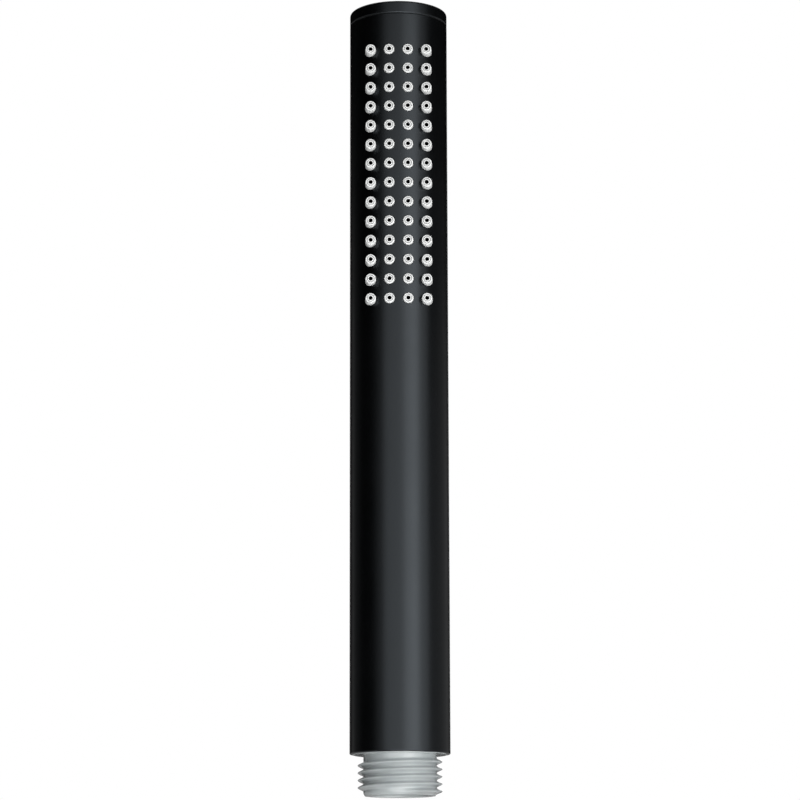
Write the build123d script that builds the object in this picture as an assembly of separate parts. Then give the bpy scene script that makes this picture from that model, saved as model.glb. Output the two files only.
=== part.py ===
from build123d import *
import math
import os

# Stick hand shower. Millimetres, Z up along the stick, jets leave towards -Y.
# The origin is the middle of the inlet's sealing face.

# Outer tube
tube_od = 25.0
tube_wall = 1.0
tube_length = 187.6
foot_recess_depth = 2.0
foot_rim_wall = 0.75
foot_edge = 0.3
seam_edge = 0.25

# Top cap
cap_height = 3.2
cap_edge = 0.5

# Spray field
column_count = 4
column_pitch = 4.72
row_count = 14
row_pitch = 5.0
first_row_drop = 12.9

# Nozzle strip; the many small rounds of the spray field are drawn with few sides
nozzle_base_d = 2.8
nozzle_tip_d = 2.6
nozzle_bore_d = 0.88
nozzle_sides = 10
bore_sides = 6
hole_sides = 6
inner_nozzle_reach = 0.55
outer_nozzle_reach = 2.15
strip_thickness = 1.2
strip_side_margin = 1.1
strip_end_margin = 4.2

# Spray core
core_end_wall = 0.5
chamber_side_margin = 0.5
chamber_end_margin = 1.7
chamber_back_wall = 3.0
chamber_floor = 3.0
rib_width = 1.2
socket_depth = 12.0
seal_height = 2.0

# Inlet connector and its pipe through the handle
thread_major_d = 20.955
thread_depth = 1.36
thread_length = 8.6
thread_lead = 0.9
end_edge = 0.4
inlet_length = 10.2
inlet_wall = 2.1
flange_lip = 0.15
collar_length = 8.0
pipe_od = 15.0
pipe_wall = 2.0

# Flow limiter and strainer
limiter_depth = 8.7
limiter_height = 2.8
limiter_port = 1.4
limiter_port_count = 6
strainer_thickness = 0.5
strainer_gap = 1.6
strainer_pitch = 2.4

# Clearances
hole_clearance = 0.05
slide_clearance = 0.1
seat_clearance = 0.05
cap_core_gap = 0.3

# Radii that follow
tube_r = tube_od / 2
bore_r = tube_r - tube_wall
recess_r = tube_r - foot_rim_wall
strip_outer_r = bore_r - slide_clearance
strip_inner_r = strip_outer_r - strip_thickness
core_r = bore_r - slide_clearance
pipe_r = pipe_od / 2
pipe_bore_r = pipe_r - pipe_wall
socket_r = pipe_r + slide_clearance
thread_r = thread_major_d / 2
neck_r = thread_r - thread_depth
inlet_bore_r = neck_r - inlet_wall
limiter_r = inlet_bore_r - seat_clearance

# Nozzle places and the widths that follow from them
column_x = [(i - (column_count - 1) / 2) * column_pitch for i in range(column_count)]
outer_x = max(column_x)
nozzle_r = nozzle_base_d / 2
strip_half_width = outer_x + nozzle_r + strip_side_margin
chamber_half_width = outer_x + nozzle_bore_d / 2 + chamber_side_margin

# Levels that follow
foot_z = inlet_length
tube_top_z = foot_z + tube_length
cap_top_z = tube_top_z + cap_height
row_z = [cap_top_z - first_row_drop - i * row_pitch for i in range(row_count)]
strip_top_z = row_z[0] + strip_end_margin
strip_foot_z = row_z[-1] - strip_end_margin
core_top_z = strip_top_z + core_end_wall
chamber_top_z = row_z[0] + chamber_end_margin
chamber_foot_z = row_z[-1] - chamber_end_margin
socket_top_z = chamber_foot_z - chamber_floor
core_foot_z = socket_top_z - socket_depth
pipe_top_z = socket_top_z - seal_height
spigot_foot_z = core_top_z + cap_core_gap
flange_foot_z = foot_z - flange_lip
flange_top_z = foot_z + foot_recess_depth


def turned(*profile):
    """Solid of revolution about Z from (radius, height) corners."""
    corners = [(r, 0, z) for r, z in profile]
    return revolve(make_face(Polyline(*corners, close=True)), Axis.Z)


def rod(radius, low, high):
    """Round bar on the Z axis between two heights."""
    return Pos(0, 0, low) * extrude(Circle(radius), high - low)


def jet_places():
    """Places on the stick's middle plane whose own Z runs along each jet, towards -Y."""
    return [Location((x, 0, z), (90, 0, 0)) for z in row_z for x in column_x]


def arch(radius):
    """Area behind an arch of the strip's form, which has one flat for each nozzle column."""
    bends = [(a + b) / 2 for a, b in zip(column_x, column_x[1:])]
    angles = [math.asin(min(1, x / strip_outer_r)) for x in (*bends, strip_half_width)]
    points = [(radius * math.sin(a), -radius * math.cos(a)) for a in angles]
    (bend_x, bend_y), (edge_x, edge_y) = points[-2:]
    foot_x = edge_x - edge_y * (edge_x - bend_x) / (edge_y - bend_y)
    return make_face(Polyline((-foot_x, 0), *points[:-1], (foot_x, 0), close=True))


def front_slab(half_width, low, high):
    """Block in front of the stick's middle plane."""
    return Pos(0, -tube_od / 2, low) * extrude(Rectangle(2 * half_width, tube_od), high - low)


def make_outer_tube():
    tube = turned(
        (recess_r, foot_z),
        (tube_r - foot_edge, foot_z),
        (tube_r, foot_z + foot_edge),
        (tube_r, tube_top_z - seam_edge),
        (tube_r - seam_edge, tube_top_z),
        (bore_r, tube_top_z),
        (bore_r, foot_z + foot_recess_depth),
        (recess_r, foot_z + foot_recess_depth),
    )
    flat = Rot(0, 0, 180 / hole_sides)
    hole = extrude(flat * RegularPolygon(nozzle_r + hole_clearance, hole_sides, major_radius=False), tube_od)
    return tube - [place * hole for place in jet_places()]


def make_top_cap():
    spigot_r = bore_r - slide_clearance
    return turned(
        (0, spigot_foot_z),
        (spigot_r, spigot_foot_z),
        (spigot_r, tube_top_z),
        (tube_r - seam_edge, tube_top_z),
        (tube_r, tube_top_z + seam_edge),
        (tube_r, cap_top_z - cap_edge),
        (tube_r - cap_edge, cap_top_z),
        (0, cap_top_z),
    )


def make_nozzle(tip_y):
    """Tapered nozzle along its own Z, from the stick's middle plane to the tip."""
    draft = math.degrees(math.atan((nozzle_base_d - nozzle_tip_d) / 2 / tip_y))
    return extrude(RegularPolygon(nozzle_r, nozzle_sides), tip_y, taper=draft)


def make_nozzle_strip():
    foot = Pos(0, 0, strip_foot_z)
    length = strip_top_z - strip_foot_z
    strip = foot * extrude(arch(strip_outer_r), length)
    for x in column_x:
        wall_y = math.sqrt(tube_r**2 - x**2)
        reach = outer_nozzle_reach if abs(x) == outer_x else inner_nozzle_reach
        nozzle = make_nozzle(wall_y + reach)
        strip = strip + [Location((x, 0, z), (90, 0, 0)) * nozzle for z in row_z]
    strip = strip - foot * extrude(arch(strip_inner_r), length)
    strip = strip & front_slab(strip_half_width, strip_foot_z, strip_top_z)
    bore = extrude(RegularPolygon(nozzle_bore_d / 2, bore_sides), tube_od)
    return strip - [place * bore for place in jet_places()]


def make_spray_core():
    core = rod(core_r, core_foot_z, core_top_z)
    core = core - rod(core_r - chamber_back_wall, chamber_foot_z, chamber_top_z)
    core = core - front_slab(chamber_half_width, chamber_foot_z, chamber_top_z)
    core = core + front_slab(rib_width / 2, chamber_foot_z + pipe_od, chamber_top_z)
    core = core - rod(pipe_bore_r, socket_top_z, chamber_foot_z)
    core = core - rod(socket_r, core_foot_z, socket_top_z)
    seat_foot_z = strip_foot_z - seat_clearance
    seat_arch = Pos(0, 0, seat_foot_z) * extrude(arch(strip_inner_r - seat_clearance), core_top_z - seat_foot_z)
    return core - (front_slab(strip_half_width + seat_clearance, seat_foot_z, core_top_z) - seat_arch)


def make_core_seal():
    low = pipe_top_z + seat_clearance
    high = socket_top_z - seat_clearance
    return turned((pipe_bore_r, low), (pipe_r, low), (pipe_r, high), (pipe_bore_r, high))


def make_inlet_connector():
    flange_r = recess_r - seat_clearance
    collar_r = bore_r - slide_clearance
    ledge_z = flange_top_z - seat_clearance
    return turned(
        (inlet_bore_r, 0),
        (neck_r - end_edge, 0),
        (thread_r, thread_lead),
        (thread_r, thread_length),
        (neck_r, thread_length),
        (neck_r, flange_foot_z),
        (flange_r, flange_foot_z),
        (flange_r, ledge_z),
        (collar_r, ledge_z),
        (collar_r, ledge_z + collar_length),
        (pipe_r, ledge_z + collar_length),
        (pipe_r, pipe_top_z),
        (pipe_bore_r, pipe_top_z),
        (pipe_bore_r, limiter_depth),
        (inlet_bore_r, limiter_depth),
    )


def make_flow_limiter():
    foot = limiter_depth - seat_clearance - limiter_height
    body = rod(limiter_r, foot, foot + limiter_height)
    port = Pos(0, 0, foot) * extrude(Rectangle(limiter_port, limiter_port), limiter_height)
    places = PolarLocations(pipe_bore_r - limiter_port, limiter_port_count)
    return body - [place * port for place in places]


def make_inlet_strainer():
    top = limiter_depth - 2 * seat_clearance - limiter_height
    screen = rod(limiter_r, top - strainer_thickness, top)
    gap = Pos(0, 0, top - strainer_thickness) * extrude(Rectangle(strainer_gap, strainer_gap), strainer_thickness)
    reach = limiter_r - strainer_pitch
    steps = range(-math.floor(reach / strainer_pitch), math.floor(reach / strainer_pitch) + 1)
    places = [(i * strainer_pitch, j * strainer_pitch) for i in steps for j in steps]
    return screen - [Pos(x, y) * gap for x, y in places if math.hypot(x, y) <= reach]


pieces = {
    "outer_tube": make_outer_tube,
    "top_cap": make_top_cap,
    "nozzle_strip": make_nozzle_strip,
    "spray_core": make_spray_core,
    "core_seal": make_core_seal,
    "inlet_connector": make_inlet_connector,
    "flow_limiter": make_flow_limiter,
    "inlet_strainer": make_inlet_strainer,
}

os.makedirs("parts", exist_ok=True)
for name, make in pieces.items():
    export_step(make(), os.path.join("parts", name + ".step"))
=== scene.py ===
import math

import bmesh
import bpy
from mathutils import Matrix, Vector


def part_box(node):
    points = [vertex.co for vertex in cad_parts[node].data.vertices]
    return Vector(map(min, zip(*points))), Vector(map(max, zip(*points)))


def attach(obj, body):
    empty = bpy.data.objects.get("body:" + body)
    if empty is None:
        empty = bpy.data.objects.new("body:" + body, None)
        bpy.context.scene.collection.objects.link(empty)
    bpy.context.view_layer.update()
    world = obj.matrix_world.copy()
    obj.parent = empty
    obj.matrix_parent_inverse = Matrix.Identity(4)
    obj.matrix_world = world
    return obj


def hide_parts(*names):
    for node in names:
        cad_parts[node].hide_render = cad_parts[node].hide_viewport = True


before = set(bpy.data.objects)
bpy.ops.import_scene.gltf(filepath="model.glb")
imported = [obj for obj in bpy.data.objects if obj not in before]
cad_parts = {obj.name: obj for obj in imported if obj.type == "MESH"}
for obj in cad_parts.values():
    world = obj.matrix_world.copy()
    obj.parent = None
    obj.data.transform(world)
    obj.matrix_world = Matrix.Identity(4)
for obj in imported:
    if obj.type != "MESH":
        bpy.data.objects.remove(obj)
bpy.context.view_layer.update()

# Stick hand shower, Z up along the stick, jets towards -Y, the hose's end at the origin
# Lengths in metres; MM turns millimetres into metres
MM = 0.001

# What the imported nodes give
tube_low, tube_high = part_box("outer_tube")
cap_low, cap_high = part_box("top_cap")
strip_low, strip_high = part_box("nozzle_strip")
tube_r = tube_high.x
foot_z = tube_low.z
tube_top_z = tube_high.z
cap_top_z = cap_high.z
pipe_top_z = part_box("inlet_connector")[1].z

# Clearances
slide_clearance = 0.1 * MM
seat_clearance = 0.05 * MM

# Outer tube
tube_sides = 288
tube_wall = 1.0 * MM
foot_rim_wall = 0.75 * MM
foot_recess_depth = 2.0 * MM
foot_edge = 0.3 * MM
foot_inner_edge = 0.08 * MM
seam_edge = 0.25 * MM
bore_r = tube_r - tube_wall
recess_r = tube_r - foot_rim_wall
recess_top_z = foot_z + foot_recess_depth

# Cap, with a narrow shadow gap under it
cap_sides = 192
spigot_edge = 0.3 * MM
shadow_depth = 0.14 * MM
shadow_height = 0.08 * MM
cap_chamfer = 0.18 * MM
cap_foot_edge = 0.04 * MM
cap_edge = 0.5 * MM
spigot_r = bore_r - slide_clearance

# Spray field
column_count = 4
column_pitch = 4.72 * MM
row_count = 14
row_pitch = 5.0 * MM
first_row_drop = 12.9 * MM
hole_r = 1.45 * MM
hole_sides = 40
drill_length = 20 * MM
inner_x = column_pitch / 2
outer_x = (column_count - 1) / 2 * column_pitch
top_row_z = cap_top_z - first_row_drop

# Nozzle strip: an arched mat, and nozzles that end in a groove round a mouth
strip_thickness = 1.2 * MM
strip_half_width = strip_high.x
strip_outer_r = bore_r - slide_clearance
strip_inner_r = strip_outer_r - strip_thickness
bow_steps = 24
waterway_sides = 128
nozzle_sides = 36
nozzle_root = 5 * MM
nozzle_taper = 2.2 * MM
nozzle_base_r = 1.39 * MM
nozzle_tip_r = 1.28 * MM
nozzle_tip_edge = 0.26 * MM
groove_r = 0.86 * MM
groove_width = 0.17 * MM
groove_depth = 0.22 * MM
groove_edge = 0.03 * MM
mouth_r = 0.5 * MM
jet_bore_r = 0.44 * MM
jet_bore_sides = 20
inner_reach = 0.55 * MM
outer_reach = 2.15 * MM

# Hose thread, its turns counted from its first crest
thread_r = 20.955 * MM / 2
thread_depth = 1.36 * MM
thread_pitch = 1.814 * MM
thread_lead = 0.7 * MM
thread_top_z = 9.85 * MM
first_crest_z = 1.11 * MM
first_turn = -0.25
last_turn = 4.2
turn_run = 0.1
crest_sharpness = 0.6
sleeve_turns = 9
sleeve_rows = 20
root_r = thread_r - thread_depth

# Inlet with its flange, its collar and its pipe
inlet_sides = 128
inlet_crease = 50
inlet_wall = 2.1 * MM
inlet_edge = 0.35 * MM
end_taper = 0.35 * MM
end_chamfer = 0.06 * MM
flange_lip = 0.15 * MM
flange_edge = 0.12 * MM
neck_fillet = 0.15 * MM
collar_length = 8 * MM
collar_edge = 0.3 * MM
collar_fillet = 0.4 * MM
pipe_r = 7.5 * MM
pipe_wall = 2.0 * MM
pipe_edge = 0.3 * MM
seat_edge = 0.1 * MM
limiter_z = 8.7 * MM
inlet_bore_r = root_r - inlet_wall
pipe_bore_r = pipe_r - pipe_wall
flange_r = recess_r - seat_clearance
collar_r = bore_r - slide_clearance
ledge_z = recess_top_z - seat_clearance
flange_foot_z = foot_z - flange_lip


def placed(name, data):
    """Object of a mesh, a lamp or a camera, in the scene."""
    obj = bpy.data.objects.new(name, data)
    bpy.context.scene.collection.objects.link(obj)
    return obj


def softened(corners, steps=5, guard=0.03 * MM):
    """Closed outline of (x, y, radius) corners, each rounded off in steps.

    The guard is how far beyond an arc's ends a point is set on the straight there.
    """
    outline = []
    for i, (x, y, radius) in enumerate(corners):
        here = Vector((x, y))
        if radius <= 0:
            outline.append(here)
            continue
        back = (Vector(corners[i - 1][:2]) - here).normalized()
        ahead = (Vector(corners[(i + 1) % len(corners)][:2]) - here).normalized()
        half = back.angle(ahead) / 2
        reach = radius / math.tan(half)
        centre = here + (back + ahead).normalized() * radius / math.sin(half)
        start = here + back * reach - centre
        end = here + ahead * reach - centre
        sweep = start.angle_signed(end)
        arc = [centre + Matrix.Rotation(-sweep * step / steps, 2) @ start for step in range(steps + 1)]
        if guard:
            arc = [here + back * (reach + guard), *arc, here + ahead * (reach + guard)]
        outline += arc
    return [tuple(point) for point in outline]


def turned(name, profile, sides, closed=True):
    """Mesh turned about Z from (radius, height) points; closed joins the last point to the first."""
    verts, rings, faces = [], [], []
    for radius, height in profile:
        count = sides if radius > 0 else 1
        rings.append([len(verts) + i % count for i in range(sides + 1)])
        for i in range(count):
            angle = 2 * math.pi * i / sides
            verts.append((radius * math.cos(angle), radius * math.sin(angle), height))
    pairs = zip(rings, rings[1:] + rings[:1]) if closed else zip(rings, rings[1:])
    for low, high in pairs:
        for i in range(sides):
            corners = list(dict.fromkeys((low[i], low[i + 1], high[i + 1], high[i])))
            if len(corners) > 2:
                faces.append(corners)
    mesh = bpy.data.meshes.new(name)
    mesh.from_pydata(verts, [], faces)
    return mesh


def prism(name, outline, low, high):
    """Mesh of an outline in X and Y, drawn up between two heights."""
    count = len(outline)
    verts = [(x, y, z) for z in (low, high) for x, y in outline]
    faces = [(i, (i + 1) % count, count + (i + 1) % count, count + i) for i in range(count)]
    faces += [tuple(range(count))[::-1], tuple(range(count, 2 * count))]
    mesh = bpy.data.meshes.new(name)
    mesh.from_pydata(verts, [], faces)
    return mesh


def dressed(mesh, crease=40):
    """Turns a mesh's faces outward and shades them smooth up to a crease in degrees."""
    shape = bmesh.new()
    shape.from_mesh(mesh)
    bmesh.ops.recalc_face_normals(shape, faces=shape.faces)
    shape.to_mesh(mesh)
    shape.free()
    mesh.shade_smooth()
    mesh.set_sharp_from_angle(angle=math.radians(crease))
    return mesh


class Net:
    """Node tree that takes new nodes, laid out in a row."""

    spacing = 180

    def __init__(self, tree):
        self.tree = tree

    def sockets(self, in_out, kinds):
        """Named inputs or outputs of the tree as a group."""
        for label, kind in kinds.items():
            self.tree.interface.new_socket(label, in_out=in_out, socket_type="NodeSocket" + kind)

    def feed(self, socket, value):
        """Links an input to another node's output, or sets its value."""
        if isinstance(value, bpy.types.NodeSocket):
            self.tree.links.new(value, socket)
        else:
            socket.default_value = value

    def add(self, kind, inputs=None, out=0, **settings):
        """New node; gives one of its outputs. A list feeds one input with all that it holds."""
        node = self.tree.nodes.new(kind)
        node.location.x = self.spacing * len(self.tree.nodes)
        for key, value in settings.items():
            setattr(node, key, value)
        for key, value in (inputs or {}).items():
            for item in value if isinstance(value, list) else [value]:
                self.feed(node.inputs[key], item)
        return node.outputs[out]

    def math(self, operation, *values, clamp=False):
        """Result of a math node."""
        return self.add("ShaderNodeMath", dict(enumerate(values)), operation=operation, use_clamp=clamp)

    def ramp(self, value, start, end, first=0.0, last=1.0, **settings):
        """Number that runs from the first to the last while a value runs from start to end."""
        inputs = {"Value": value, "From Min": start, "From Max": end, "To Min": first, "To Max": last}
        return self.add("ShaderNodeMapRange", inputs, **settings)

    def mix(self, share, first, second):
        """Colour between two others; the mix node's colours are its inputs 6 and 7 and its output 2."""
        return self.add("ShaderNodeMix", {"Factor": share, 6: first, 7: second}, out=2, data_type="RGBA")

    def split(self, vector):
        """The X, Y and Z of a vector."""
        return self.add("ShaderNodeSeparateXYZ", {0: vector}).node.outputs


class GeometryNet(Net):
    """Geometry Nodes tree with named inputs of these kinds."""

    def __init__(self, name, kinds):
        super().__init__(bpy.data.node_groups.new(name, "GeometryNodeTree"))
        self.sockets("INPUT", kinds)
        self.sockets("OUTPUT", {"Geometry": "Geometry"})
        self.given = self.tree.nodes.new("NodeGroupInput").outputs

    def xyz(self, x=0.0, y=0.0, z=0.0):
        """Vector of three values."""
        return self.add("ShaderNodeCombineXYZ", {0: x, 1: y, 2: z})

    def source(self, label):
        """Geometry of the object that an input names."""
        return self.add("GeometryNodeObjectInfo", {"Object": self.given[label]}, out="Geometry")

    def carved(self, body, *tools):
        """Body with the tools cut out of it."""
        shapes = {"Mesh 1": body, "Mesh 2": list(tools)}
        return self.add("GeometryNodeMeshBoolean", shapes, operation="DIFFERENCE", solver="EXACT")

    def united(self, *bodies):
        """Bodies made into one."""
        shapes = {"Mesh 2": list(bodies)}
        return self.add("GeometryNodeMeshBoolean", shapes, operation="UNION", solver="EXACT")

    def ends(self, geometry):
        """Puts the geometry out, realized and with its material where the tree is given one."""
        if "Material" in self.given:
            geometry = self.add("GeometryNodeRealizeInstances", {0: geometry})
            clad = {"Geometry": geometry, "Material": self.given["Material"]}
            geometry = self.add("GeometryNodeSetMaterial", clad)
        out = self.tree.nodes.new("NodeGroupOutput")
        out.location.x = self.spacing * len(self.tree.nodes)
        self.feed(out.inputs[0], geometry)
        return self.tree


def grown(name, tree, values, **dressing):
    """Object with the plain mesh that a Geometry Nodes tree makes of these inputs."""
    obj = placed(name, bpy.data.meshes.new(name))
    modifier = obj.modifiers.new(tree.name, "NODES")
    modifier.node_group = tree
    for item in tree.interface.items_tree:
        if item.in_out == "INPUT":
            modifier[item.identifier] = values[item.name]
    graph = bpy.context.evaluated_depsgraph_get()
    mesh = bpy.data.meshes.new_from_object(obj.evaluated_get(graph), depsgraph=graph)
    obj.modifiers.clear()
    obj.data = dressed(mesh, **dressing)
    for value in values.values():
        if isinstance(value, bpy.types.Object):
            bpy.data.objects.remove(value)
    return obj


# Spray field that the tube and the strip share
field_kinds = {
    "Columns": "Int",
    "Column Pitch": "Float",
    "Rows": "Int",
    "Row Pitch": "Float",
    "Top Row": "Float",
}
field_values = {
    "Columns": column_count,
    "Column Pitch": column_pitch,
    "Rows": row_count,
    "Row Pitch": row_pitch,
    "Top Row": top_row_z,
}
quarter_turn = (math.pi / 2, 0, 0)


def spray_places_tree():
    """Points of the spray field on the stick's middle plane."""
    net = GeometryNet("spray_places", field_kinds)
    columns, rows = net.given["Columns"], net.given["Rows"]
    width = net.math("MULTIPLY", net.math("SUBTRACT", columns, 1.0), net.given["Column Pitch"])
    height = net.math("MULTIPLY", net.math("SUBTRACT", rows, 1.0), net.given["Row Pitch"])
    sizes = {"Size X": width, "Size Y": height, "Vertices X": columns, "Vertices Y": rows}
    grid = net.add("GeometryNodeMeshGrid", sizes)
    middle = net.math("SUBTRACT", net.given["Top Row"], net.math("MULTIPLY", height, 0.5))
    upright = {"Geometry": grid, "Translation": net.xyz(z=middle), "Rotation": quarter_turn}
    return net.ends(net.add("GeometryNodeTransform", upright))


def field_points(net, places):
    """The shared field's points inside another tree."""
    sizes = {label: net.given[label] for label in field_kinds}
    return net.add("GeometryNodeGroup", sizes, node_tree=places)


def drill(net, points, radius, sides):
    """Round bars that run from each point towards -Y."""
    sizes = {"Vertices": sides, "Radius": radius, "Depth": drill_length}
    bar = net.add("GeometryNodeMeshCylinder", sizes)
    laid = {"Geometry": bar, "Translation": (0, -drill_length / 2, 0), "Rotation": quarter_turn}
    bar = net.add("GeometryNodeTransform", laid)
    bars = net.add("GeometryNodeInstanceOnPoints", {"Points": points, "Instance": bar})
    return net.add("GeometryNodeRealizeInstances", {0: bars})


def perforated_tube_tree(places):
    """Turned tube with one round hole at each place of the spray field."""
    kinds = {"Blank": "Object", "Hole Radius": "Float", "Material": "Material", **field_kinds}
    net = GeometryNet("perforated_tube", kinds)
    holes = drill(net, field_points(net, places), net.given["Hole Radius"], hole_sides)
    return net.ends(net.carved(net.source("Blank"), holes))


def nozzle_strip_tree(places):
    """Arched mat with a short nozzle in the middle columns, a long one in the outer columns."""
    kinds = {
        "Mat": "Object",
        "Short Nozzle": "Object",
        "Long Nozzle": "Object",
        "Waterway": "Object",
        "Bore Radius": "Float",
        "Material": "Material",
        **field_kinds,
    }
    net = GeometryNet("nozzle_strip", kinds)
    points = field_points(net, places)
    across = net.split(net.add("GeometryNodeInputPosition"))["X"]
    outer = net.math("GREATER_THAN", net.math("ABSOLUTE", across), net.given["Column Pitch"])
    inner = net.math("SUBTRACT", 1.0, outer)
    body = net.source("Mat")
    for label, chosen in (("Short Nozzle", inner), ("Long Nozzle", outer)):
        row = {"Points": points, "Selection": chosen, "Instance": net.source(label)}
        nozzles = net.add("GeometryNodeInstanceOnPoints", row)
        body = net.united(body, net.add("GeometryNodeRealizeInstances", {0: nozzles}))
    bores = drill(net, points, net.given["Bore Radius"], jet_bore_sides)
    return net.ends(net.carved(body, net.source("Waterway"), bores))


def hose_thread_tree():
    """One ridge wound round the inlet; it swells out of the root and dies away after its last turn."""
    turns_below = 2.0
    weld = 0.002 * MM
    kinds = {
        "Body": "Object",
        "Root Radius": "Float",
        "Depth": "Float",
        "Pitch": "Float",
        "Crest Height": "Float",
        "Foot": "Float",
        "Lead": "Float",
        "End Taper": "Float",
        "Top": "Float",
        "First Turn": "Float",
        "Last Turn": "Float",
        "Run": "Float",
        "Sharpness": "Float",
        "Turns": "Int",
        "Sides": "Int",
        "Rows": "Int",
        "Material": "Material",
    }
    net = GeometryNet("hose_thread", kinds)
    given = net.given

    # Sleeve whose rows follow the helix, cut level at its foot and its top
    rows = net.math("MULTIPLY", given["Turns"], given["Rows"])
    sizes = {
        "Size X": 1.0,
        "Size Y": 1.0,
        "Vertices X": net.math("ADD", given["Sides"], 1.0),
        "Vertices Y": net.math("ADD", rows, 1.0),
    }
    grid = net.add("GeometryNodeMeshGrid", sizes)
    place = net.split(net.add("GeometryNodeInputPosition"))
    turn = net.math("ADD", place["X"], 0.5)
    wind = net.math("MULTIPLY", net.math("ADD", place["Y"], 0.5), given["Turns"])
    wind = net.math("SUBTRACT", wind, turns_below)
    height = net.math("MULTIPLY_ADD", given["Pitch"], net.math("ADD", wind, turn), given["Crest Height"])
    height = net.math("MINIMUM", net.math("MAXIMUM", height, given["Foot"]), given["Top"])

    # Ridge, with a run at both its ends
    along = net.math("ADD", net.math("ROUND", wind), turn)
    swollen = net.math("ADD", given["First Turn"], given["Run"])
    swell = net.ramp(along, given["First Turn"], swollen, interpolation_type="SMOOTHSTEP")
    unfaded = net.math("SUBTRACT", given["Last Turn"], given["Run"])
    fade = net.ramp(along, given["Last Turn"], unfaded, interpolation_type="SMOOTHSTEP")
    wave = net.math("COSINE", net.math("MULTIPLY", wind, 2 * math.pi))
    wave = net.math("ARCSINE", net.math("MULTIPLY", wave, given["Sharpness"]))
    wave_height = net.math("MULTIPLY", net.math("ARCSINE", given["Sharpness"]), 2.0)
    ridge = net.math("ADD", net.math("DIVIDE", wave, wave_height), 0.5)
    ridge = net.math("MULTIPLY", ridge, net.math("MULTIPLY", swell, fade))

    # Root, which tapers towards the end
    lead_top = net.math("ADD", given["Foot"], given["Lead"])
    taper = net.ramp(height, given["Foot"], lead_top, given["End Taper"], 0.0)
    root = net.math("SUBTRACT", given["Root Radius"], taper)

    radius = net.math("MULTIPLY_ADD", ridge, given["Depth"], root)
    angle = net.math("MULTIPLY", turn, 2 * math.pi)
    x = net.math("MULTIPLY", radius, net.math("COSINE", angle))
    y = net.math("MULTIPLY", radius, net.math("SINE", angle))
    sleeve = net.add("GeometryNodeSetPosition", {"Geometry": grid, "Position": net.xyz(x, y, height)})
    whole = net.add("GeometryNodeJoinGeometry", {0: [sleeve, net.source("Body")]})
    return net.ends(net.add("GeometryNodeMergeByDistance", {"Geometry": whole, "Distance": weld}))


# Finishes, and the shade painted into the jets
def finish_group():
    """Slow change of tone and gloss with a fine moulded or sprayed grain, in Object coordinates."""
    patch_detail = 4
    grain_detail = 2
    grain_share = 0.35
    least = 0.45
    most = 0.9
    net = Net(bpy.data.node_groups.new("surface_finish", "ShaderNodeTree"))
    net.sockets("INPUT", {"Deep": "Color", "Pale": "Color", "Smooth": "Float", "Rough": "Float"})
    net.sockets("INPUT", {"Patch Scale": "Float", "Grain Scale": "Float"})
    net.sockets("OUTPUT", {"Colour": "Color", "Roughness": "Float", "Height": "Float"})
    given = net.tree.nodes.new("NodeGroupInput").outputs
    out = net.tree.nodes.new("NodeGroupOutput").inputs
    place = net.add("ShaderNodeTexCoord", out="Object")

    def noise(scale, detail):
        values = {"Vector": place, "Scale": scale, "Detail": detail}
        return net.add("ShaderNodeTexNoise", values, out="Fac")

    patch = noise(given["Patch Scale"], patch_detail)
    grain = noise(given["Grain Scale"], grain_detail)
    spread = net.ramp(net.math("MULTIPLY_ADD", grain, grain_share, patch), least, most)
    net.feed(out["Colour"], net.mix(spread, given["Deep"], given["Pale"]))
    net.feed(out["Roughness"], net.ramp(spread, 0.0, 1.0, given["Smooth"], given["Rough"]))
    net.feed(out["Height"], grain)
    return net.tree


finish = finish_group()
grain_depth = 0.02 * MM


def material(name, deep, pale, smooth, rough, patch=120, grain=4000, bump=0.02, **more):
    """Principled material with the shared finish; more holds other inputs of its shader."""
    mat = bpy.data.materials.new(name)
    mat.use_nodes = True
    net = Net(mat.node_tree)
    values = {
        "Deep": (*deep, 1),
        "Pale": (*pale, 1),
        "Smooth": smooth,
        "Rough": rough,
        "Patch Scale": patch,
        "Grain Scale": grain,
    }
    made = net.add("ShaderNodeGroup", values, node_tree=finish).node.outputs
    relief = {"Strength": bump, "Distance": grain_depth, "Height": made["Height"]}
    shader = mat.node_tree.nodes["Principled BSDF"].inputs
    net.feed(shader["Base Color"], made["Colour"])
    net.feed(shader["Roughness"], made["Roughness"])
    net.feed(shader["Normal"], net.add("ShaderNodeBump", relief))
    for label, value in more.items():
        net.feed(shader[label.replace("_", " ")], value)
    return mat


def paint_jet_shade(mat):
    """Paints shade into the mouths of the jets and the groove round each, by the millimetres from a jet's
    axis.
    """
    # Tones of the painted shade in the grooves and the jets' mouths, and the millimetres over which it
    # fades
    groove_painted_shade = 0.3
    groove_core = 0.05
    groove_rim = 0.09
    mouth_painted_shade = 0.02
    mouth_rim = 0.03
    net = Net(mat.node_tree)
    place = net.split(net.add("ShaderNodeTexCoord", out="Object"))
    columns = (place["X"], -outer_x, column_pitch)
    rows = (place["Z"], top_row_z, row_pitch)
    squares = []
    for across, start, pitch in (columns, rows):
        steps = net.math("DIVIDE", net.math("SUBTRACT", across, start), pitch)
        part = net.math("SUBTRACT", steps, net.math("ROUND", steps))
        away = net.math("MULTIPLY", part, pitch / MM)
        squares.append(net.math("MULTIPLY", away, away))
    from_axis = net.math("SQRT", net.math("ADD", *squares))
    from_groove = net.math("ABSOLUTE", net.math("SUBTRACT", from_axis, groove_r / MM))
    colour = mat.node_tree.nodes["Principled BSDF"].inputs["Base Color"]
    # Painted shade: the jets' mouths near black and the grooves dimmed, where shade falls into these
    # recesses
    for tone, distance, low, high in (
        (groove_painted_shade, from_groove, groove_core, groove_rim),
        (mouth_painted_shade, from_axis, mouth_r / MM, mouth_r / MM + mouth_rim),
    ):
        pale = net.ramp(distance, low, high)
        net.feed(colour, net.mix(pale, (tone, tone, tone, 1), colour.links[0].from_socket))


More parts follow.
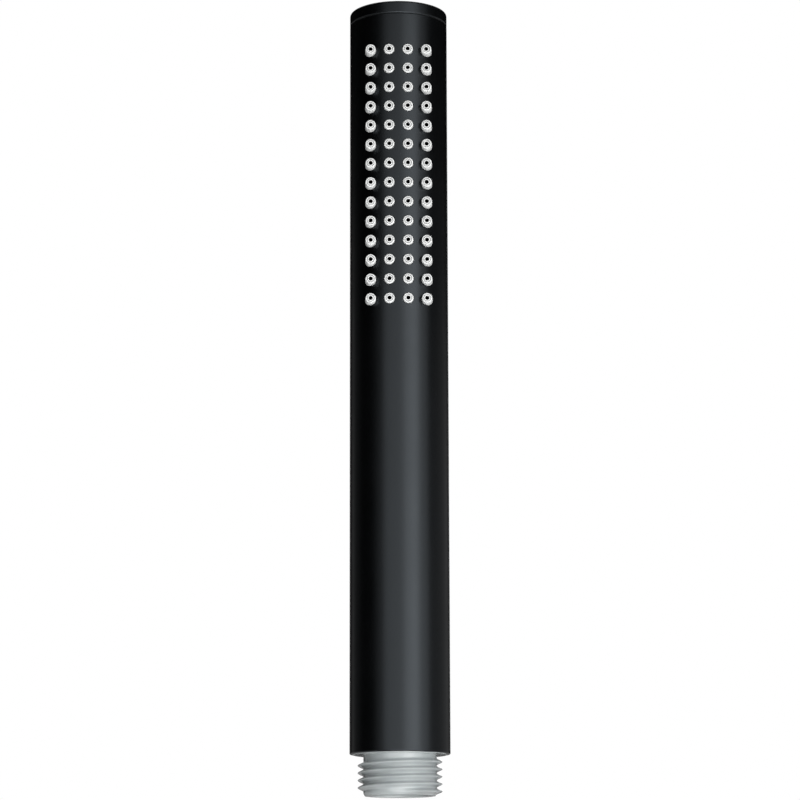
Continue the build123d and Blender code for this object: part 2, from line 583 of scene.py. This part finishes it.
black_coat = material(
    "black_coat",
    deep=(0.0003, 0.0003, 0.0004),
    pale=(0.0006, 0.0006, 0.0007),
    smooth=0.28,
    rough=0.33,
    patch=60,
    grain=5000,
    bump=0.06,
    Specular_Tint=(0.83, 0.92, 1.0, 1.0),
)
pale_silicone = material(
    "pale_silicone",
    deep=(0.87, 0.885, 0.88),
    pale=(0.92, 0.93, 0.92),
    smooth=0.4,
    rough=0.5,
    patch=400,
    grain=6000,
    bump=0.05,
    IOR=1.42,
)
# Shade painted into the silicone's jet mouths and grooves
paint_jet_shade(pale_silicone)
grey_plastic = material(
    "grey_plastic",
    deep=(0.395, 0.43, 0.435),
    pale=(0.455, 0.485, 0.49),
    smooth=0.18,
    rough=0.26,
    patch=180,
    grain=3500,
    bump=0.05,
    IOR=1.6,
    Coat_Weight=1.0,
    Coat_Roughness=0.12,
)
core_plastic = material(
    "core_plastic", deep=(0.6, 0.6, 0.57), pale=(0.68, 0.68, 0.65), smooth=0.45, rough=0.55
)
seal_rubber = material(
    "seal_rubber", deep=(0.012, 0.012, 0.012), pale=(0.022, 0.021, 0.02), smooth=0.55, rough=0.7, bump=0.1
)
limiter_plastic = material(
    "limiter_plastic", deep=(0.7, 0.71, 0.71), pale=(0.78, 0.79, 0.79), smooth=0.35, rough=0.45
)
screen_steel = material(
    "screen_steel",
    deep=(0.52, 0.51, 0.49),
    pale=(0.62, 0.61, 0.59),
    smooth=0.22,
    rough=0.34,
    patch=900,
    Metallic=1.0,
)


# Pieces
def make_tube(places):
    """Tube with a recess in its foot and the holes of the spray field."""
    profile = softened(
        [
            (recess_r, foot_z, foot_inner_edge),
            (tube_r, foot_z, foot_edge),
            (tube_r, tube_top_z, seam_edge),
            (bore_r, tube_top_z, 0),
            (bore_r, recess_top_z, 0),
            (recess_r, recess_top_z, 0),
        ]
    )
    values = {
        "Blank": placed("tube_blank", turned("tube_blank", profile, tube_sides)),
        "Hole Radius": hole_r,
        "Material": black_coat,
        **field_values,
    }
    return grown("tube_wall", perforated_tube_tree(places), values)


def make_cap():
    """Flat cap on a spigot, with the shadow gap at its foot."""
    gap_r = tube_r - shadow_depth
    gap_top_z = tube_top_z + shadow_height
    profile = softened(
        [
            (0, cap_low.z, 0),
            (spigot_r, cap_low.z, spigot_edge),
            (spigot_r, tube_top_z, 0),
            (gap_r, tube_top_z, 0),
            (gap_r, gap_top_z, 0),
            (tube_r, gap_top_z + cap_chamfer, cap_foot_edge),
            (tube_r, cap_top_z, cap_edge),
            (0, cap_top_z, 0),
        ]
    )
    cap = placed("cap_shell", dressed(turned("cap_shell", profile, cap_sides)))
    cap.data.materials.append(black_coat)
    return cap


def make_nozzle(name, reach, column_x):
    """Solid nozzle along -Y, from inside the strip to a soft-edged tip that stands out of the tube."""
    tip = math.sqrt(tube_r**2 - column_x**2) + reach
    groove_floor = tip - groove_depth
    groove_out = groove_r + groove_width / 2
    groove_in = groove_r - groove_width / 2
    profile = softened(
        [
            (0, nozzle_root, 0),
            (nozzle_base_r, nozzle_root, 0),
            (nozzle_base_r, tip - nozzle_taper, 0),
            (nozzle_tip_r, tip, nozzle_tip_edge),
            (groove_out, tip, groove_edge),
            (groove_out - groove_edge, groove_floor, 0),
            (groove_in + groove_edge, groove_floor, 0),
            (groove_in, tip - groove_edge, groove_edge),
            (mouth_r + groove_edge, tip - groove_edge, groove_edge),
            (mouth_r - groove_edge, groove_floor, 0),
            (0, groove_floor, 0),
        ],
        steps=3,
        guard=0,
    )
    mesh = turned(name, profile, nozzle_sides)
    mesh.transform(Matrix.Rotation(math.pi / 2, 4, "X"))
    return placed(name, dressed(mesh))


def make_mat():
    """Arched mat of the strip."""
    shares = [i / bow_steps * 2 - 1 for i in range(bow_steps + 1)]
    outline = []
    for radius, way in ((strip_outer_r, 1), (strip_inner_r, -1)):
        edge_angle = math.asin(strip_half_width / radius)
        angles = [way * edge_angle * share for share in shares]
        outline += [(radius * math.sin(angle), -radius * math.cos(angle)) for angle in angles]
    return placed("strip_mat", dressed(prism("strip_mat", outline, strip_low.z, strip_high.z)))


def make_strip(places):
    """Silicone strip with all its nozzles, cleared inside for the water."""
    inside = [(0, tube_top_z), (0, foot_z), (strip_inner_r, foot_z), (strip_inner_r, tube_top_z)]
    values = {
        "Mat": make_mat(),
        "Short Nozzle": make_nozzle("short_nozzle", inner_reach, inner_x),
        "Long Nozzle": make_nozzle("long_nozzle", outer_reach, outer_x),
        "Waterway": placed("waterway", dressed(turned("waterway", inside, waterway_sides))),
        "Bore Radius": jet_bore_r,
        "Material": pale_silicone,
        **field_values,
    }
    return grown("nozzle_field", nozzle_strip_tree(places), values)


def make_inlet():
    """Inlet with its pipe; the thread's sleeve closes its turned body."""
    end_r = root_r - end_taper
    collar_top_z = ledge_z + collar_length
    profile = softened(
        [
            (root_r, thread_top_z, 0),
            (root_r, flange_foot_z, neck_fillet),
            (flange_r, flange_foot_z, flange_edge),
            (flange_r, ledge_z, seat_edge),
            (collar_r, ledge_z, 0),
            (collar_r, collar_top_z, collar_edge),
            (pipe_r, collar_top_z, collar_fillet),
            (pipe_r, pipe_top_z, pipe_edge),
            (pipe_bore_r, pipe_top_z, pipe_edge),
            (pipe_bore_r, limiter_z, seat_edge),
            (inlet_bore_r, limiter_z, seat_edge),
            (inlet_bore_r, 0, inlet_edge),
            (end_r - end_chamfer, 0, 0),
            (end_r, end_chamfer, 0),
        ]
    )
    values = {
        "Body": placed("inlet_body", turned("inlet_body", profile, inlet_sides, closed=False)),
        "Root Radius": root_r,
        "Depth": thread_depth,
        "Pitch": thread_pitch,
        "Crest Height": first_crest_z,
        "Foot": end_chamfer,
        "Lead": thread_lead,
        "End Taper": end_taper,
        "Top": thread_top_z,
        "First Turn": first_turn,
        "Last Turn": last_turn,
        "Run": turn_run,
        "Sharpness": crest_sharpness,
        "Turns": sleeve_turns,
        "Sides": inlet_sides,
        "Rows": sleeve_rows,
        "Material": grey_plastic,
    }
    return grown("threaded_inlet", hose_thread_tree(), values, crease=inlet_crease)


spray_places = spray_places_tree()
tube = make_tube(spray_places)
cap = make_cap()
strip = make_strip(spray_places)
inlet = make_inlet()

# What each piece stands for, and the CAD nodes that show as they are
for piece, node, slot in (
    (tube, "outer_tube", "black_metal"),
    (cap, "top_cap", "black_metal"),
    (strip, "nozzle_strip", "nozzle_silicone"),
    (inlet, "inlet_connector", "inlet_plastic"),
):
    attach(piece, "root")
    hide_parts(node)
for node, finish_of in (
    ("spray_core", core_plastic),
    ("core_seal", seal_rubber),
    ("flow_limiter", limiter_plastic),
    ("inlet_strainer", screen_steel),
):
    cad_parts[node].data.materials.clear()
    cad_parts[node].data.materials.append(finish_of)

# Studio, with angles in degrees
stick_middle = Vector((0, 0, 0.1))
room_tone = 0.01
floor_z = -0.2
floor_reach = 3.0
floor_tone = 0.8
floor_white = 0.86
floor_white_mirrored = 0.25
cloth_r = 1.6
cloth_top_z = 2.0
cloth_tone = 0.004
cloth_panel_angle = 2
cloth_gap_angle = 17
cloth_gap_low_z = -0.04
cloth_gap_top_z = 0.7


def shown(net, camera=1.0, mirrored=1.0):
    """Share of its own white that the ground shows to the camera, and in reflections and glass."""
    path = net.add("ShaderNodeLightPath").node.outputs
    level = 0.0
    for ray, share in (
        ("Is Camera Ray", camera),
        ("Is Glossy Ray", mirrored),
        ("Is Transmission Ray", mirrored),
    ):
        level = net.math("MULTIPLY_ADD", path[ray], share, level, clamp=True)
    return level


def matt(name, tone):
    """Plain material without shine."""
    mat = bpy.data.materials.new(name)
    mat.use_nodes = True
    shader = mat.node_tree.nodes["Principled BSDF"].inputs
    shader["Base Color"].default_value = (tone, tone, tone, 1)
    shader["Roughness"].default_value = 1.0
    shader["Specular IOR Level"].default_value = 0.0
    return mat


def set_world():
    """White ground for the camera, reflections and glass; a dark room for all other light."""
    world = bpy.data.worlds.new("studio")
    bpy.context.scene.world = world
    world.use_nodes = True
    net = Net(world.node_tree)
    ground = net.mix(shown(net), (room_tone, room_tone, room_tone, 1), (1, 1, 1, 1))
    net.feed(world.node_tree.nodes["Background"].inputs["Color"], ground)


def make_floor():
    """Floor, partly white of its own, so that it is pale and keeps the shadow."""
    signs = ((-1, -1), (1, -1), (1, 1), (-1, 1))
    mesh = bpy.data.meshes.new("floor")
    mesh.from_pydata([(x * floor_reach, y * floor_reach, floor_z) for x, y in signs], [], [(0, 1, 2, 3)])
    pale = matt("pale_floor", floor_tone)
    nodes = pale.node_tree.nodes
    net = Net(pale.node_tree)
    level = shown(net, floor_white, floor_white_mirrored)
    lit = nodes["Principled BSDF"].outputs[0]
    white = net.add("ShaderNodeEmission")
    blend = net.add("ShaderNodeMixShader", {0: level, 1: lit, 2: white})
    net.feed(nodes["Material Output"].inputs["Surface"], blend)
    mesh.materials.append(pale)
    return placed("floor", mesh)


def on_cloth(turn, height):
    """Point of the cloth's drum; turn 0 is the camera's side, 90 is +X."""
    angle = math.radians(turn)
    return (cloth_r * math.sin(angle), -cloth_r * math.cos(angle), height)


def make_cloth():
    """Dark cloth that only reflections see: round the stick and over its front half.

    A gap behind lets the white ground show in the tube's flanks.
    """
    corners, faces = [], []
    for left in range(-180, 180, cloth_panel_angle):
        right = left + cloth_panel_angle
        off_front = abs(left + right) / 2
        spans = [(floor_z, cloth_top_z)]
        if off_front > 180 - cloth_gap_angle:
            spans = [(floor_z, cloth_gap_low_z), (cloth_gap_top_z, cloth_top_z)]
        for low, high in spans:
            first = len(corners)
            corners += [on_cloth(left, low), on_cloth(right, low)]
            corners += [on_cloth(right, high), on_cloth(left, high)]
            faces.append(tuple(range(first, first + 4)))
        if off_front < 90:
            corners.append((0, 0, cloth_top_z))
            faces.append((first + 3, first + 2, first + 4))
    mesh = bpy.data.meshes.new("dark_cloth")
    mesh.from_pydata(corners, [], faces)
    mesh.materials.append(matt("dark_cloth", cloth_tone))
    cloth = placed("dark_cloth", mesh)
    for ray in ("camera", "diffuse", "transmission", "shadow"):
        setattr(cloth, "visible_" + ray, False)
    return cloth


def lamp(name, azimuth, half_width, elevation, half_height, radiance, distance=1.2):
    """Soft box under these angles from the stick's middle; azimuth 0 is the camera's side, 90 is +X."""
    data = bpy.data.lights.new(name, "AREA")
    data.shape = "RECTANGLE"
    data.size = 2 * distance * math.tan(math.radians(half_width))
    data.size_y = 2 * distance * math.tan(math.radians(half_height))
    data.energy = radiance * math.pi * data.size * data.size_y
    turn = math.radians(azimuth)
    rise = math.radians(elevation)
    way = Vector((math.sin(turn) * math.cos(rise), -math.cos(turn) * math.cos(rise), math.sin(rise)))
    box = placed(name, data)
    box.location = stick_middle + way * distance
    box.rotation_euler = (-way).to_track_quat("-Z", "Y").to_euler()
    box.visible_camera = False


set_world()
make_floor()
make_cloth()
lamp("front", azimuth=5, half_width=44, elevation=0, half_height=24, radiance=1.28)
lamp("front_left", azimuth=-46, half_width=9, elevation=-5, half_height=17, radiance=0.3)
lamp("key", azimuth=31, half_width=20, elevation=0, half_height=24, radiance=1.3)
lamp("key_core", azimuth=35, half_width=7, elevation=0, half_height=24, radiance=0.6)
lamp("side", azimuth=60, half_width=9, elevation=-1, half_height=23, radiance=0.85)
lamp("side_low", azimuth=62, half_width=10, elevation=-8, half_height=16, radiance=0.5)
lamp("right", azimuth=112, half_width=36, elevation=-5, half_height=19, radiance=0.25)
lamp("left", azimuth=-115, half_width=14, elevation=-4, half_height=20, radiance=0.06)
lamp("left_rim", azimuth=-135, half_width=7, elevation=-4, half_height=20, radiance=0.2)
lamp("top", azimuth=10, half_width=22, elevation=62, half_height=22, radiance=0.2)
lamp("back", azimuth=180, half_width=40, elevation=60, half_height=12, radiance=0.7)
lamp("low", azimuth=15, half_width=31, elevation=-46, half_height=14, radiance=4.3, distance=0.37)

# Camera, a little below the stick's foot and tilted up
sensor_width = 36
focal_length = 130.446
tilt_up = 10.9505
roll = -0.1334
eye_x = 0.0002006
eye_distance = 0.72
eye_drop = 0.05006
camera_data = bpy.data.cameras.new("camera")
camera_data.sensor_width = sensor_width
camera_data.lens = focal_length
camera = placed("camera", camera_data)
tilted = Matrix.Rotation(math.radians(90 + tilt_up), 4, "X")
rolled = Matrix.Rotation(math.radians(roll), 4, "Z")
camera.matrix_world = Matrix.Translation((eye_x, -eye_distance, foot_z - eye_drop)) @ tilted @ rolled
bpy.context.scene.camera = camera
bpy.context.scene.view_settings.view_transform = "Standard"
